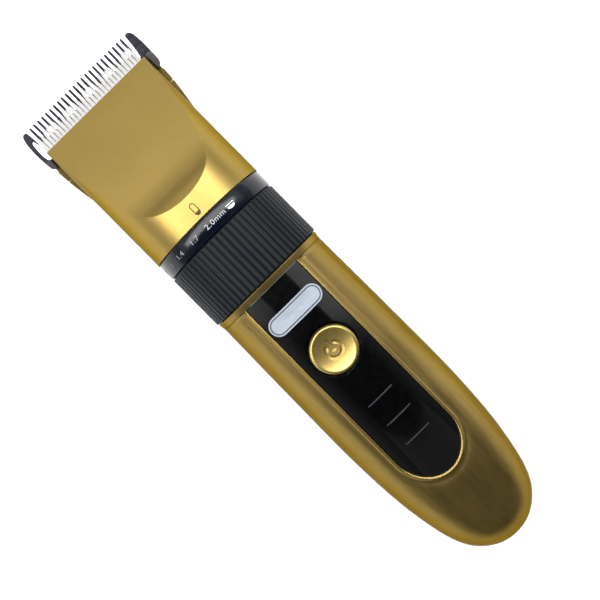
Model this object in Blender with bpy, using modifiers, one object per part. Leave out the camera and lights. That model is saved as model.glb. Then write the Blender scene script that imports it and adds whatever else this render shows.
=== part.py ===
"""Cordless beard trimmer, lying on its back with the control panel up.

The model is in metres, +Z up. X runs across the trimmer, Y from the handle's end to the blade tips.
Drawing sizes below are in millimetres. A station is a distance from the handle's end along the
trimmer's axis, and a height is a distance above that axis. The helpers turn both into metres.
"""

import math

import bmesh
import bpy
from mathutils import Matrix, Vector

MM = 0.001

# Overall
CENTRE_STATION = 88.15
AXIS_HEIGHT = 19.5
GAP = 0.3
ROUND_STEPS = 32

# Handle: outer radius at each station, a smooth curve through these points
HANDLE_CURVE = [(0.0, 0.0), (1.5, 6.6), (5.7, 11.65), (11.3, 14.6), (19.6, 16.6), (30.8, 18.1),
                (47.6, 18.9), (72.0, 18.8), (97.1, 18.5)]
HANDLE_WALL = 2.0
HANDLE_END = 97.1
PAD_HALF_WIDTH = 6.5
PAD_STATIONS = (34.0, 94.0)
CENTRE_X = -0.35

# Front panel, badge and button
PANEL_HALF_WIDTH = 9.75
PANEL_LOW = 29.9
PANEL_TOP = 97.0
PANEL_THICKNESS = 1.6
BADGE_STATION = 88.0
BADGE_SIZE = (17.7, 5.5)
BADGE_RISE = 0.25
BADGE_DEPTH = 0.45
BUTTON_STATION = 73.7
BUTTON_RADIUS = 6.65
BUTTON_HOLE_RADIUS = 7.3
BUTTON_RIM = 19.3

# Charging socket in the handle's end
JACK_RADIUS = 3.6
JACK_NOSE_RADIUS = 2.6
JACK_BORE_RADIUS = 1.75

# Neck, collar and length ring
COLLAR_STATIONS = (97.4, 98.9)
COLLAR_RADII = (18.5, 18.8)
NECK_OUTER = 15.7
NECK_INNER = 14.2
NECK_STATIONS = (92.0, 129.2)
RING_STATIONS = (99.15, 116.9)
RING_RADIUS = 19.1
RING_GROOVE_DEPTH = 0.55
RING_BORE = 16.8
RIB_COUNT = 66
BAND_STATIONS = (117.1, 122.2)
BAND_RADIUS = 19.1
CAM_STATIONS = (117.4, 129.2)

# Head
HEAD_START = 122.5
HEAD_END = 166.9
HEAD_RADIUS = 19.25
HEAD_WALL = 1.6
LIP_HEIGHT = 2.9
FACET_SLOPE = 0.36
SCOOP_START = 138.5
SCOOP_CURVATURE = 0.02
FOOT_START = 131.3
FOOT_CURVATURE = 0.25
SEAM_STATION = 158.2
CARRIER_START = 157.9
CARRIER_REAR_FACE = [(150.0, -20.0), (159.9, -14.0), (158.5, -4.0), (158.5, 8.0), (150.0, 8.0)]
CARRIER_END = 168.0
CORNER_STATIONS = (162.6, 163.4)
CORNER_WIDTH = 2.6
HEAD_FLARE = 1.9
FLARE_STATIONS = (140.0, 162.0)
REAR_CURVE = [(122.5, 19.25), (132.0, 19.05), (138.0, 17.9), (146.0, 15.0), (152.0, 12.8),
              (157.4, 10.9), (162.6, 8.6), (168.0, 4.6)]

# Blade set: u runs along the blade towards its tips, w is the height above the steel plate's face
BLADE_TILT = math.radians(15.0)
BLADE_TIP_STATION = 175.75
BLADE_TIP_HEIGHT = 0.6
PLATE_THICKNESS = 1.0
PLATE_END = -18.3
FIXED_TEETH = 24
FIXED_PITCH = 1.549
FIXED_TOOTH_WIDTH = 0.7
FIXED_TOOTH_ROOT = -7.6
CUTTER_X = -0.4
CUTTER_TIP = -3.25
CUTTER_ROOT = -5.2
CUTTER_TEETH = 29
CUTTER_PITCH = 1.28
CUTTER_HALF_WIDTH = 18.6
CUTTER_BASE_HALF = 14.0
CUTTER_SHOULDER = -8.35
CUTTER_LAYER = (0.25, 1.85)
HINGE_STATION = 158.0
HINGE_HEIGHT = -8.6

# Drive
MOTOR_RADIUS = 10.2
MOTOR_FLAT = 7.7
SHAFT_RADIUS = 1.0
SHAFT_BORE = 1.3
CRANK_THROW = 1.0
PIN_RADIUS = 0.9

# Battery
CELL_RADIUS = 7.0
CELL_STATIONS = (20.0, 70.0)
CELL_HEIGHT = -5.0

COLOURS = {
    "gold_satin": ((0.42, 0.29, 0.07), 0.34, 1.0),
    "black_gloss": ((0.006, 0.006, 0.007), 0.12, 0.0),
    "black_matte": ((0.016, 0.017, 0.019), 0.45, 0.0),
    "badge_silver": ((0.50, 0.56, 0.64), 0.3, 0.9),
    "blade_steel": ((0.06, 0.06, 0.075), 0.35, 1.0),
    "bright_steel": ((0.62, 0.62, 0.64), 0.25, 1.0),
    "ceramic": ((0.86, 0.85, 0.81), 0.3, 0.0),
    "brown_plastic": ((0.11, 0.095, 0.085), 0.45, 0.0),
    "black_plastic": ((0.03, 0.03, 0.03), 0.5, 0.0),
    "white_plastic": ((0.75, 0.74, 0.7), 0.45, 0.0),
    "board_green": ((0.03, 0.16, 0.07), 0.4, 0.0),
    "cell_wrap": ((0.05, 0.13, 0.33), 0.35, 0.0),
    "brass": ((0.66, 0.48, 0.2), 0.3, 1.0),
    "red_wire": ((0.5, 0.02, 0.02), 0.45, 0.0),
    "black_wire": ((0.01, 0.01, 0.01), 0.45, 0.0),
    "led_amber": ((0.8, 0.35, 0.05), 0.2, 0.0),
}


def clear_scene():
    for obj in list(bpy.data.objects):
        bpy.data.objects.remove(obj, do_unlink=True)


def new_collection(name):
    collection = bpy.data.collections.new(name)
    bpy.context.scene.collection.children.link(collection)
    return collection


def material(name):
    found = bpy.data.materials.get(name)
    if found:
        return found
    colour, roughness, metallic = COLOURS[name]
    made = bpy.data.materials.new(name)
    made.use_nodes = True
    shader = made.node_tree.nodes["Principled BSDF"]
    shader.inputs["Base Color"].default_value = (*colour, 1.0)
    shader.inputs["Roughness"].default_value = roughness
    shader.inputs["Metallic"].default_value = metallic
    return made


def empty(name, location, tilt=0.0, parent=None):
    made = bpy.data.objects.new(name, None)
    parts.objects.link(made)
    made.location = Vector(location) * MM
    made.rotation_euler = (tilt, 0.0, 0.0)
    made.parent = parent
    return made


def add(name, mesh, finish, parent, location=(0.0, 0.0, 0.0), rotation=None):
    """Link a mesh as a part, or as a hidden cutter when it has no finish."""
    made = bpy.data.objects.new(name, mesh)
    made.parent = parent
    turn = rotation.to_4x4() if rotation else Matrix.Identity(4)
    made.matrix_local = Matrix.Translation(Vector(location) * MM) @ turn
    if finish:
        parts.objects.link(made)
        mesh.materials.append(material(finish))
    else:
        cutters.objects.link(made)
        made.hide_render = True
        made.display_type = "WIRE"
    return made


def mesh_of(name, bm):
    bmesh.ops.recalc_face_normals(bm, faces=bm.faces)
    mesh = bpy.data.meshes.new(name)
    bm.to_mesh(mesh)
    bm.free()
    return mesh


def smooth_round(obj, angle=35.0):
    obj.data.shade_smooth()
    obj.data.set_sharp_from_angle(angle=math.radians(angle))


def box(name, low, high, finish, parent):
    low, high = Vector(low), Vector(high)
    bm = bmesh.new()
    bmesh.ops.create_cube(bm, size=1.0)
    bmesh.ops.scale(bm, vec=(high - low) * MM, verts=bm.verts)
    return add(name, mesh_of(name, bm), finish, parent, location=(low + high) / 2)


def rod(name, start, end, radius, finish, parent, steps=20):
    """A round bar between two points."""
    start, end = Vector(start), Vector(end)
    bm = bmesh.new()
    bmesh.ops.create_cone(bm, cap_ends=True, segments=steps, radius1=radius * MM,
                          radius2=radius * MM, depth=(end - start).length * MM)
    turn = (end - start).to_track_quat("Z", "Y").to_matrix()
    made = add(name, mesh_of(name, bm), finish, parent, location=(start + end) / 2, rotation=turn)
    smooth_round(made)
    return made


ALONG_Y = Matrix.Rotation(-math.pi / 2, 3, "X")
ALONG_Z = Matrix.Identity(3)


def turned(name, profile, finish, parent, location=(0.0, 0.0, 0.0), axis=ALONG_Y, steps=ROUND_STEPS):
    """A turned piece: profile is (radius, station), down the outside and back up the inside."""
    mesh = bpy.data.meshes.new(name)
    points = [(radius * MM, 0.0, station * MM) for radius, station in profile]
    closed = profile[0][0] > 0.0 or profile[-1][0] > 0.0
    last = len(points) if closed else len(points) - 1
    edges = [(i, (i + 1) % len(points)) for i in range(last)]
    mesh.from_pydata(points, edges, [])
    made = add(name, mesh, finish, parent, location=location, rotation=axis)
    screw = made.modifiers.new("turn", "SCREW")
    screw.axis = "Z"
    screw.steps = steps
    screw.render_steps = steps
    screw.use_smooth_shade = True
    screw.use_merge_vertices = True
    screw.merge_threshold = 0.000001
    return made


def curve_to_mesh(name, curve, finish, parent, location, rotation):
    """Turn a curve into a closed mesh object, so that it can be cut and joined."""
    source = bpy.data.objects.new(name + "_curve", curve)
    cutters.objects.link(source)
    bpy.context.view_layer.update()
    depsgraph = bpy.context.evaluated_depsgraph_get()
    mesh = bpy.data.meshes.new_from_object(source.evaluated_get(depsgraph))
    bpy.data.objects.remove(source, do_unlink=True)
    bm = bmesh.new()
    bm.from_mesh(mesh)
    bmesh.ops.remove_doubles(bm, verts=bm.verts, dist=0.000001)
    bpy.data.meshes.remove(mesh)
    return add(name, mesh_of(name, bm), finish, parent, location=location, rotation=rotation)


# Where a flat outline's own X, Y and thickness point
PLANES = {
    "XY": Matrix.Identity(3),
    "YZ": Matrix(((0, 0, 1), (1, 0, 0), (0, 1, 0))),
    "XZ": Matrix(((1, 0, 0), (0, 0, -1), (0, 1, 0))),
}
THICKNESS_SIGN = {"XY": 1.0, "YZ": 1.0, "XZ": -1.0}


def prism(name, outlines, low, high, finish, parent, plane="XY"):
    """A flat outline, with holes after the first outline, given a thickness from low to high."""
    curve = bpy.data.curves.new(name, "CURVE")
    curve.dimensions = "2D"
    curve.fill_mode = "BOTH"
    curve.extrude = (high - low) / 2 * MM
    for outline in outlines:
        spline = curve.splines.new("POLY")
        spline.points.add(len(outline) - 1)
        for point, (a, b) in zip(spline.points, outline):
            point.co = (a * MM, b * MM, 0.0, 1.0)
        spline.use_cyclic_u = True
    rotation = PLANES[plane]
    offset = rotation @ Vector((0.0, 0.0, THICKNESS_SIGN[plane] * (low + high) / 2))
    return curve_to_mesh(name, curve, finish, parent, offset, rotation)


def wire(name, points, radius, finish, parent):
    """A round wire along a smooth line through the points."""
    curve = bpy.data.curves.new(name, "CURVE")
    curve.dimensions = "3D"
    curve.bevel_depth = radius * MM
    curve.bevel_resolution = 2
    curve.use_fill_caps = True
    path = smooth_line(points, 3)
    spline = curve.splines.new("POLY")
    spline.points.add(len(path) - 1)
    for point, place in zip(spline.points, path):
        point.co = (*(Vector(place) * MM), 1.0)
    return curve_to_mesh(name, curve, finish, parent, (0.0, 0.0, 0.0), ALONG_Z)


def smooth_line(points, steps):
    """Points on a Catmull-Rom curve through the given points."""
    places = [Vector(point) for point in points]
    ends = [places[0] * 2 - places[1]] + places + [places[-1] * 2 - places[-2]]
    line = []
    for i in range(1, len(ends) - 2):
        before, here, after, beyond = ends[i - 1:i + 3]
        for step in range(steps):
            t = step / steps
            bend = 2 * before - 5 * here + 4 * after - beyond
            twist = 3 * here - before - 3 * after + beyond
            line.append(here + 0.5 * (t * (after - before) + t * t * bend + t ** 3 * twist))
    return line + [places[-1]]


def loft(name, sections, finish, parent):
    """A closed solid through sections that hold the same number of points."""
    bm = bmesh.new()
    rings = [[bm.verts.new(Vector(point) * MM) for point in section] for section in sections]
    count = len(rings[0])
    for near, far in zip(rings, rings[1:]):
        for i in range(count):
            bm.faces.new((near[i], near[(i + 1) % count], far[(i + 1) % count], far[i]))
    bm.faces.new(rings[0])
    bm.faces.new(rings[-1])
    made = add(name, mesh_of(name, bm), finish, parent)
    smooth_round(made, 25.0)
    return made


def combine(target, other, operation):
    modifier = target.modifiers.new(operation.lower(), "BOOLEAN")
    modifier.operation = operation
    modifier.object = other
    modifier.solver = "EXACT"


def cut(target, *others):
    for other in others:
        combine(target, other, "DIFFERENCE")


def join(target, *others):
    for other in others:
        combine(target, other, "UNION")


def arc(centre, radius, start, end, steps):
    """Points on an arc, angles in degrees."""
    points = []
    for i in range(steps + 1):
        angle = math.radians(start + (end - start) * i / steps)
        points.append((centre[0] + radius * math.cos(angle), centre[1] + radius * math.sin(angle)))
    return points


def slot_outline(centre_x, half_width, low, top, steps=14):
    """A panel outline: a half circle at its low end and square corners at its top."""
    lower = arc((centre_x, low + half_width), half_width, 180.0, 360.0, steps)
    return lower + [(centre_x + half_width, top), (centre_x - half_width, top)]


def pill_outline(centre, size, upright=False, steps=8):
    """A pill shape of a length and a width, lying across the trimmer or upright along it."""
    half_length = (size[0] - size[1]) / 2
    radius = size[1] / 2
    pill = arc((half_length, 0.0), radius, -90.0, 90.0, steps)
    pill += arc((-half_length, 0.0), radius, 90.0, 270.0, steps)
    if upright:
        pill = [(-b, a) for a, b in pill]
    return [(centre[0] + a, centre[1] + b) for a, b in pill]


def handle_line(inset=0.0):
    """The handle's (radius, station) line from its top down to its end, moved in by the inset."""
    line = []
    for point in smooth_line([(station, radius, 0.0) for station, radius in HANDLE_CURVE], 2):
        station, radius = point.x, point.y
        inner_station = station + inset * max(0.0, 1.0 - station / 20.0) ** 2
        line.append((max(radius - inset, 0.0), min(inner_station, HANDLE_END)))
    return line[::-1]


def handle_shell(name, outer, inner, finish):
    """A turned shell between two insets of the handle line, from its top to its end."""
    outside = handle_line(outer)
    inside = [point for point in handle_line(inner) if point[0] > 0.0]
    floor = [(0.0, min(point[1] for point in inside))]
    return turned(name, outside + floor + inside[::-1], finish, AXIS)


def line_value(points, station):
    """The straight-line value at a station between the listed points."""
    for (low, first), (high, second) in zip(points, points[1:]):
        if station <= high:
            share = (station - low) / (high - low)
            return first + (second - first) * share
    return points[-1][1]


def ease(value, low, high):
    share = min(max((value - low) / (high - low), 0.0), 1.0)
    return share * share * (3.0 - 2.0 * share)


def blade_height(station, lift=0.0):
    """Height of the steel plate's front face at a station, or of a plane lifted off it."""
    slope = math.tan(BLADE_TILT)
    return BLADE_TIP_HEIGHT - (BLADE_TIP_STATION - station) * slope + lift / math.cos(BLADE_TILT)


def facet_height(station):
    """Height of the head's sloping front face, with its scoop into the round part."""
    scoop = max(SCOOP_START - station, 0.0)
    foot = max(FOOT_START - station, 0.0)
    slope = LIP_HEIGHT + FACET_SLOPE * (HEAD_END - station)
    return slope + SCOOP_CURVATURE * scoop * scoop + FOOT_CURVATURE * foot * foot


def front_section(station, inset, arc_steps=7, facet_steps=4):
    """Half a round section above the seam, cut off flat by the facet."""
    radius = HEAD_RADIUS - inset
    seam = blade_height(station, GAP)
    flat = facet_height(station) - inset
    knuckle = math.acos(min(flat / radius, 1.0)) if flat < radius else 0.0
    knuckle = max(knuckle, math.radians(5.0))
    start = math.asin(seam / radius)
    end = math.pi / 2 - knuckle
    side = [start + (end - start) * i / arc_steps for i in range(arc_steps + 1)]
    right = [(radius * math.cos(angle), radius * math.sin(angle)) for angle in side]
    edge = radius * math.sin(knuckle)
    middle = []
    for i in range(1, facet_steps):
        x = edge - 2 * edge * i / facet_steps
        middle.append((x, min(flat, math.sqrt(radius * radius - x * x))))
    left = [(-x, z) for x, z in reversed(right)]
    return right + middle + left


def lower_section(station, inset, top, steps=16):
    """The rear half of the head: round at the ring, wider and squarer towards the blade."""
    half_width = HEAD_RADIUS + HEAD_FLARE * ease(station, *FLARE_STATIONS) - inset
    depth = line_value(REAR_CURVE, station) - inset
    power = 2.0 + 3.0 * ease(station, 130.0, 156.0)
    start = math.asin(min(abs(top) / depth, 1.0) ** (power / 2))
    points = []
    for i in range(steps + 1):
        angle = start + (math.pi - 2 * start) * i / steps
        across = abs(math.cos(angle)) ** (2 / power)
        down = math.sin(angle) ** (2 / power)
        points.append((math.copysign(half_width * across, math.cos(angle)), -depth * down))
    return points


def shell_section(station, outer, inner):
    return [(x, station, z) for x, z in outer + inner[::-1]]


# ---------------------------------------------------------------- handle

def panel_prism(name, grow):
    """A block with the panel's outline, grown by a margin, that passes through the handle's front."""
    outline = slot_outline(CENTRE_X, PANEL_HALF_WIDTH + grow, PANEL_LOW - grow, PANEL_TOP + grow)
    return prism(name, [outline], 8.0, 24.0, None, AXIS)


def make_handle():
    front = handle_shell("handle_front_shell", 0.0, HANDLE_WALL, "gold_satin")
    rear = handle_shell("handle_rear_shell", 0.0, HANDLE_WALL, "gold_satin")
    far = 30.0
    cut(front, box("below_seam", (-far, -5.0, -far), (far, 110.0, GAP / 2), None, AXIS))
    cut(rear, box("above_seam", (-far, -5.0, -GAP / 2), (far, 110.0, far), None, AXIS))
    cut(front, panel_prism("panel_opening", GAP))
    mouth = rod("jack_mouth", (0.0, -1.0, 0.0), (0.0, 3.5, 0.0), JACK_NOSE_RADIUS + GAP, None, AXIS, steps=24)
    pocket = rod("jack_pocket", (0.0, 2.9, 0.0), (0.0, 12.4, 0.0), JACK_RADIUS + GAP, None, AXIS, steps=24)
    cut(front, mouth, pocket)
    low, high = PAD_STATIONS
    pad_outline = pill_outline((0.0, (low + high) / 2), (high - low, 2 * PAD_HALF_WIDTH), upright=True)
    pad = prism("rest_pad", [pad_outline], -AXIS_HEIGHT, -17.0, None, AXIS)
    join(rear, pad)
    cut(rear, mouth, pocket)
    for label, x, station, surface in (("lower", 0.0, 15.6, 15.3), ("left", -12.0, 82.0, 14.0),
                                       ("right", 12.0, 82.0, 14.0)):
        make_case_screw(front, rear, label, x, station, surface)


def make_case_screw(front, rear, label, x, station, surface):
    """A screw from the rear shell into a boss of the front shell; surface is the shell's depth."""
    boss_top = surface - (3.0 if x else 1.0)
    boss = rod("boss_" + label, (x, station, 1.0), (x, station, boss_top), 2.3, None, AXIS)
    pilot = rod("pilot_" + label, (x, station, -1.0), (x, station, 8.0), 1.2, None, AXIS)
    head_room = rod("recess_" + label, (x, station, -20.0), (x, station, 1.8 - surface), 2.3, None, AXIS)
    passage = rod("passage_" + label, (x, station, -20.0), (x, station, 0.0), 1.2, None, AXIS)
    join(front, boss)
    cut(front, pilot)
    cut(rear, head_room, passage)
    top = 1.8 - GAP - surface
    profile = [(0.9, 7.5), (0.9, top), (1.9, top), (1.9, top - 0.9), (1.4, top - 1.2), (0.0, top - 1.2)]
    turned("case_screw_" + label, [(0.0, 7.5)] + profile, "bright_steel", AXIS,
           location=(x, station, 0.0), axis=ALONG_Z, steps=16)


def make_panel():
    panel = handle_shell("front_panel", GAP / 2, PANEL_THICKNESS, "black_gloss")
    combine(panel, panel_prism("panel_blank", 0.0), "INTERSECT")
    hole = rod("button_hole", (CENTRE_X, BUTTON_STATION, 8.0), (CENTRE_X, BUTTON_STATION, 24.0),
               BUTTON_HOLE_RADIUS, None, AXIS, steps=36)
    cut(panel, hole)
    badge = handle_shell("badge_plate", -BADGE_RISE, BADGE_DEPTH, "badge_silver")
    pill = prism("badge_blank", [pill_outline((CENTRE_X, BADGE_STATION), BADGE_SIZE)], 8.0, 24.0, None, AXIS)
    combine(badge, pill, "INTERSECT")
    seat_size = (BADGE_SIZE[0] + 2 * GAP, BADGE_SIZE[1] + 2 * GAP)
    seat_pill = prism("badge_seat", [pill_outline((CENTRE_X, BADGE_STATION), seat_size)], 8.0, 24.0, None, AXIS)
    seat = handle_shell("badge_seat_layer", -1.0, BADGE_DEPTH + GAP, None)
    combine(seat, seat_pill, "INTERSECT")
    cut(panel, seat)


def make_button():
    """A dished cap on a stem that presses the switch; both travel along Z."""
    origin = (CENTRE_X, BUTTON_STATION, 0.0)
    rim = BUTTON_RIM
    cap = [(0.0, rim - 1.3), (2.8, rim - 1.15), (4.8, rim - 0.65), (6.0, rim - 0.05), (6.4, rim),
           (BUTTON_RADIUS, rim - 0.25), (BUTTON_RADIUS, rim - 3.6), (0.0, rim - 3.6)]
    turned("power_button", cap, "gold_satin", AXIS, location=origin, axis=ALONG_Z, steps=28)
    rod("button_stem", (CENTRE_X, BUTTON_STATION, 11.9), (CENTRE_X, BUTTON_STATION, rim - 3.9), 1.6,
        "black_plastic", AXIS)
    box("tactile_switch", (CENTRE_X - 3.0, BUTTON_STATION - 3.0, 6.9),
        (CENTRE_X + 3.0, BUTTON_STATION + 3.0, 10.6), "black_plastic", AXIS)


def make_electronics():
    box("circuit_board", (-9.0, 44.0, 5.0), (9.0, 88.0, 6.6), "board_green", AXIS)
    box("charge_led", (CENTRE_X - 1.5, 59.0, 6.9), (CENTRE_X + 1.5, 61.0, 8.6), "led_amber", AXIS)
    jack = [(0.0, 12.0), (JACK_RADIUS, 12.0), (JACK_RADIUS, 3.2), (JACK_NOSE_RADIUS, 3.2), (JACK_NOSE_RADIUS, 0.9),
            (JACK_BORE_RADIUS, 0.9), (JACK_BORE_RADIUS, 10.5), (0.0, 10.5)]
    turned("charging_jack", jack, "black_plastic", AXIS, steps=24)
    turned("jack_pin", [(0.0, 10.2), (0.5, 10.2), (0.5, 2.2), (0.0, 1.9)], "brass", AXIS, steps=16)
    low, high = CELL_STATIONS
    cell = [(0.0, high), (2.6, high), (2.6, high - 1.2), (6.4, high - 1.4), (CELL_RADIUS, high - 2.0),
            (CELL_RADIUS, low + 0.4), (6.6, low), (0.0, low)]
    turned("battery_cell", cell, "cell_wrap", AXIS, location=(0.0, 0.0, CELL_HEIGHT), steps=32)
    cradle = box("battery_cradle", (-8.2, 28.0, -12.6), (8.2, 66.0, CELL_HEIGHT), "black_plastic", AXIS)
    trough = rod("cradle_trough", (0.0, 20.0, CELL_HEIGHT), (0.0, 74.0, CELL_HEIGHT), CELL_RADIUS + GAP,
                 None, AXIS, steps=32)
    cut(cradle, trough)
    slits = box("cradle_window", (-6.0, 36.0, -14.0), (6.0, 58.0, -9.0), None, AXIS)
    cut(cradle, slits)
    for name, station in (("battery_tab_negative", low - 0.8), ("battery_tab_positive", high + 0.3)):
        box(name, (-2.5, station, -8.5), (2.5, station + 0.5, 4.4), "bright_steel", AXIS)
    wire("battery_wire_black", [(4.2, 19.2, -6.0), (6.5, 18.6, -1.0), (8.0, 30.0, 3.2), (7.0, 43.0, 4.0),
                                (7.0, 50.0, 4.1)], 0.5, "black_wire", AXIS)
    wire("battery_wire_red", [(3.4, 72.2, -6.0), (6.0, 74.0, -3.0), (7.5, 72.0, 2.5), (7.0, 66.0, 4.1),
                              (7.0, 60.0, 4.1)], 0.5, "red_wire", AXIS)


# ---------------------------------------------------------------- neck, ring and motor

def make_neck():
    low, high = NECK_STATIONS
    turned("neck_tube", [(NECK_OUTER, high), (NECK_OUTER, low), (NECK_INNER, low), (NECK_INNER, high)],
           "black_plastic", AXIS)
    low, high = COLLAR_STATIONS
    narrow, wide = COLLAR_RADII
    turned("collar", [(wide, high), (narrow, low), (16.0, low), (16.0, high)], "gold_satin", AXIS)
    leaf = turned("detent_leaf", [(16.5, 112.0), (16.5, 104.0), (16.05, 104.0), (16.05, 112.0)],
                  "bright_steel", AXIS)
    combine(leaf, box("leaf_blank", (-5.0, 100.0, 10.0), (5.0, 116.0, 20.0), None, AXIS), "INTERSECT")


def ribbed_outline():
    """The ring's outer edge: wide lands with narrow grooves between them."""
    outline = []
    pitch = 360.0 / RIB_COUNT
    for rib in range(RIB_COUNT):
        start = rib * pitch
        for share, depth in ((0.0, RING_GROOVE_DEPTH), (0.18, RING_GROOVE_DEPTH), (0.3, 0.0), (0.88, 0.0)):
            angle = math.radians(start + share * pitch)
            radius = RING_RADIUS - depth
            outline.append((radius * math.cos(angle), radius * math.sin(angle)))
    return outline


def make_ring():
    low, high = RING_STATIONS
    bore = arc((0.0, 0.0), RING_BORE, 0.0, 360.0 - 360.0 / 48, 47)
    prism("length_ring", [ribbed_outline(), bore], low, high, "black_matte", AXIS, plane="XZ")
    low, high = BAND_STATIONS
    turned("scale_band", [(BAND_RADIUS, high), (BAND_RADIUS, low), (17.6, low), (17.6, high)],
           "black_gloss", AXIS, steps=48)
    low, high = CAM_STATIONS
    cam = turned("ring_cam", [(17.2, high), (17.2, low), (16.0, low), (16.0, high)], "white_plastic", AXIS)
    ramp = prism("cam_ramp", [[(high + 0.2, -20.0), (high + 4.0, -20.0), (high + 4.0, 20.0), (high - 2.0, 20.0)]],
                 -20.0, 20.0, None, AXIS, plane="YZ")
    cut(cam, ramp)


def make_motor():
    far = 20.0
    can = turned("motor_can", [(3.0, 124.0), (3.0, 122.0), (MOTOR_RADIUS, 122.0), (MOTOR_RADIUS, 98.0),
                               (SHAFT_BORE, 98.0), (SHAFT_BORE, 124.0)], "bright_steel", AXIS)
    cap = turned("motor_end_cap", [(MOTOR_RADIUS - 0.4, 97.7), (MOTOR_RADIUS - 0.4, 94.5), (3.0, 94.0),
                                   (3.0, 92.6), (SHAFT_BORE, 92.6), (SHAFT_BORE, 97.7)], "black_plastic", AXIS)
    for side in (-1.0, 1.0):
        edges = sorted((side * MOTOR_FLAT, side * far))
        flat = box("motor_flat", (-far, 80.0, edges[0]), (far, 130.0, edges[1]), None, AXIS)
        cut(can, flat)
        cut(cap, flat)
    turned("motor_bracket", [(13.9, 126.3), (13.9, 124.3), (3.3, 124.3), (3.3, 126.3)], "black_plastic", AXIS)
    rod("motor_shaft", (0.0, 91.6, 0.0), (0.0, 133.4, 0.0), SHAFT_RADIUS, "bright_steel", AXIS)
    turned("eccentric_cam", [(0.0, 136.0), (4.5, 136.0), (4.5, 130.0), (SHAFT_BORE, 130.0),
                             (SHAFT_BORE, 133.7), (0.0, 133.7)], "black_plastic", AXIS, steps=28)
    pin_height = math.sqrt(CRANK_THROW ** 2 - CUTTER_X ** 2)
    rod("drive_pin", (CUTTER_X, 136.3, pin_height), (CUTTER_X, 154.0, pin_height), PIN_RADIUS,
        "bright_steel", AXIS)
    for name, x, finish in (("motor_wire_red", 5.0, "red_wire"), ("motor_wire_black", -5.0, "black_wire")):
        wire(name, [(x, 93.8, 2.0), (x, 92.0, 2.2), (x * 1.1, 89.4, 3.6), (x * 1.2, 84.0, 4.2),
                    (x * 1.2, 80.0, 4.2)], 0.5, finish, AXIS)


# ---------------------------------------------------------------- head

def make_head():
    stations = [HEAD_START, 126.0, 129.0, 129.4, 130.0, 130.8, 132.0, 134.0, 136.4, 140.0, 147.0, 154.0, 161.0,
                HEAD_END]
    sections = [shell_section(s, front_section(s, 0.0), front_section(s, HEAD_WALL)) for s in stations]
    loft("head_front_shell", sections, "gold_satin", AXIS)
    rear_stations = [HEAD_START, 127.0, 132.0, 136.0, 140.0, 144.0, 148.0, 152.0, 155.0, SEAM_STATION]
    sections = []
    for station in rear_stations:
        top = blade_height(station)
        outer = lower_section(station, 0.0, top)
        inner = lower_section(station, HEAD_WALL, top)
        sections.append(shell_section(station, outer, inner))
    rear = loft("head_rear_shell", sections, "gold_satin", AXIS)
    for side in (-1.0, 1.0):
        edges = sorted((side * 12.6, side * 14.4))
        ear = prism("pin_ear", [[(151.0, -12.6), (151.0, -8.2), (158.6, -6.5), (159.2, -8.6), (157.4, -9.6)]],
                    edges[0], edges[1], None, AXIS, plane="YZ")
        join(rear, ear)
    bore = rod("hinge_bore", (-16.0, HINGE_STATION, HINGE_HEIGHT), (16.0, HINGE_STATION, HINGE_HEIGHT),
               0.85, None, AXIS)
    cut(rear, bore)
    rod("hinge_pin", (-15.0, HINGE_STATION, HINGE_HEIGHT), (15.0, HINGE_STATION, HINGE_HEIGHT), 0.6,
        "bright_steel", AXIS, steps=12)


def make_adjuster():
    """The slide that the ring's cam pushes towards the blade."""
    side = [(129.8, -13.4), (134.5, -13.4), (153.5, -6.0), (153.5, -3.6), (151.7, -3.6), (129.8, -11.2)]
    prism("adjust_slider", [side], 7.5, 10.5, "white_plastic", AXIS, plane="YZ")


# ---------------------------------------------------------------- blade head

def fixed_blade_outline():
    """Steel plate with its teeth between two horns; the left horn is a hook round an open slot."""
    right = [(18.5, PLATE_END), (18.5, -13.6), (19.8, -13.3), (21.3, -12.7), (21.9, -11.2), (22.0, -8.0),
             (22.0, -5.2), (21.8, -3.0), (21.45, -1.2), (20.9, -0.35), (20.3, -0.1), (19.7, -0.15),
             (19.3, -0.7), (19.2, -2.5), (18.9, -5.4), (18.6, FIXED_TOOTH_ROOT + 0.2)]
    teeth = []
    half = FIXED_TOOTH_WIDTH / 2
    first = (FIXED_TEETH - 1) / 2 * FIXED_PITCH
    for tooth in range(FIXED_TEETH):
        x = first - tooth * FIXED_PITCH
        teeth += [(x + half, FIXED_TOOTH_ROOT), (x + half * 0.8, 0.0), (x - half * 0.8, 0.0),
                  (x - half, FIXED_TOOTH_ROOT)]
    slot = [(-18.45, -7.8), (-18.45, -9.7), (-18.9, -10.1), (-20.1, -10.1), (-20.6, -9.5), (-20.75, -7.8),
            (-20.6, -5.2), (-20.4, -3.9), (-20.1, -3.4), (-19.7, -3.5), (-19.15, -5.4), (-19.0, -5.4)]
    left = [(-19.15, -2.5), (-19.25, -0.7), (-19.65, -0.15), (-20.3, -0.1), (-20.85, -0.4), (-21.35, -1.3),
            (-21.75, -3.0), (-22.0, -5.5), (-22.0, -8.0), (-21.9, -10.5), (-21.5, -12.2), (-20.9, -12.9),
            (-19.8, -13.3), (-18.5, -13.6), (-18.5, PLATE_END)]
    return right + teeth + slot + left


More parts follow.
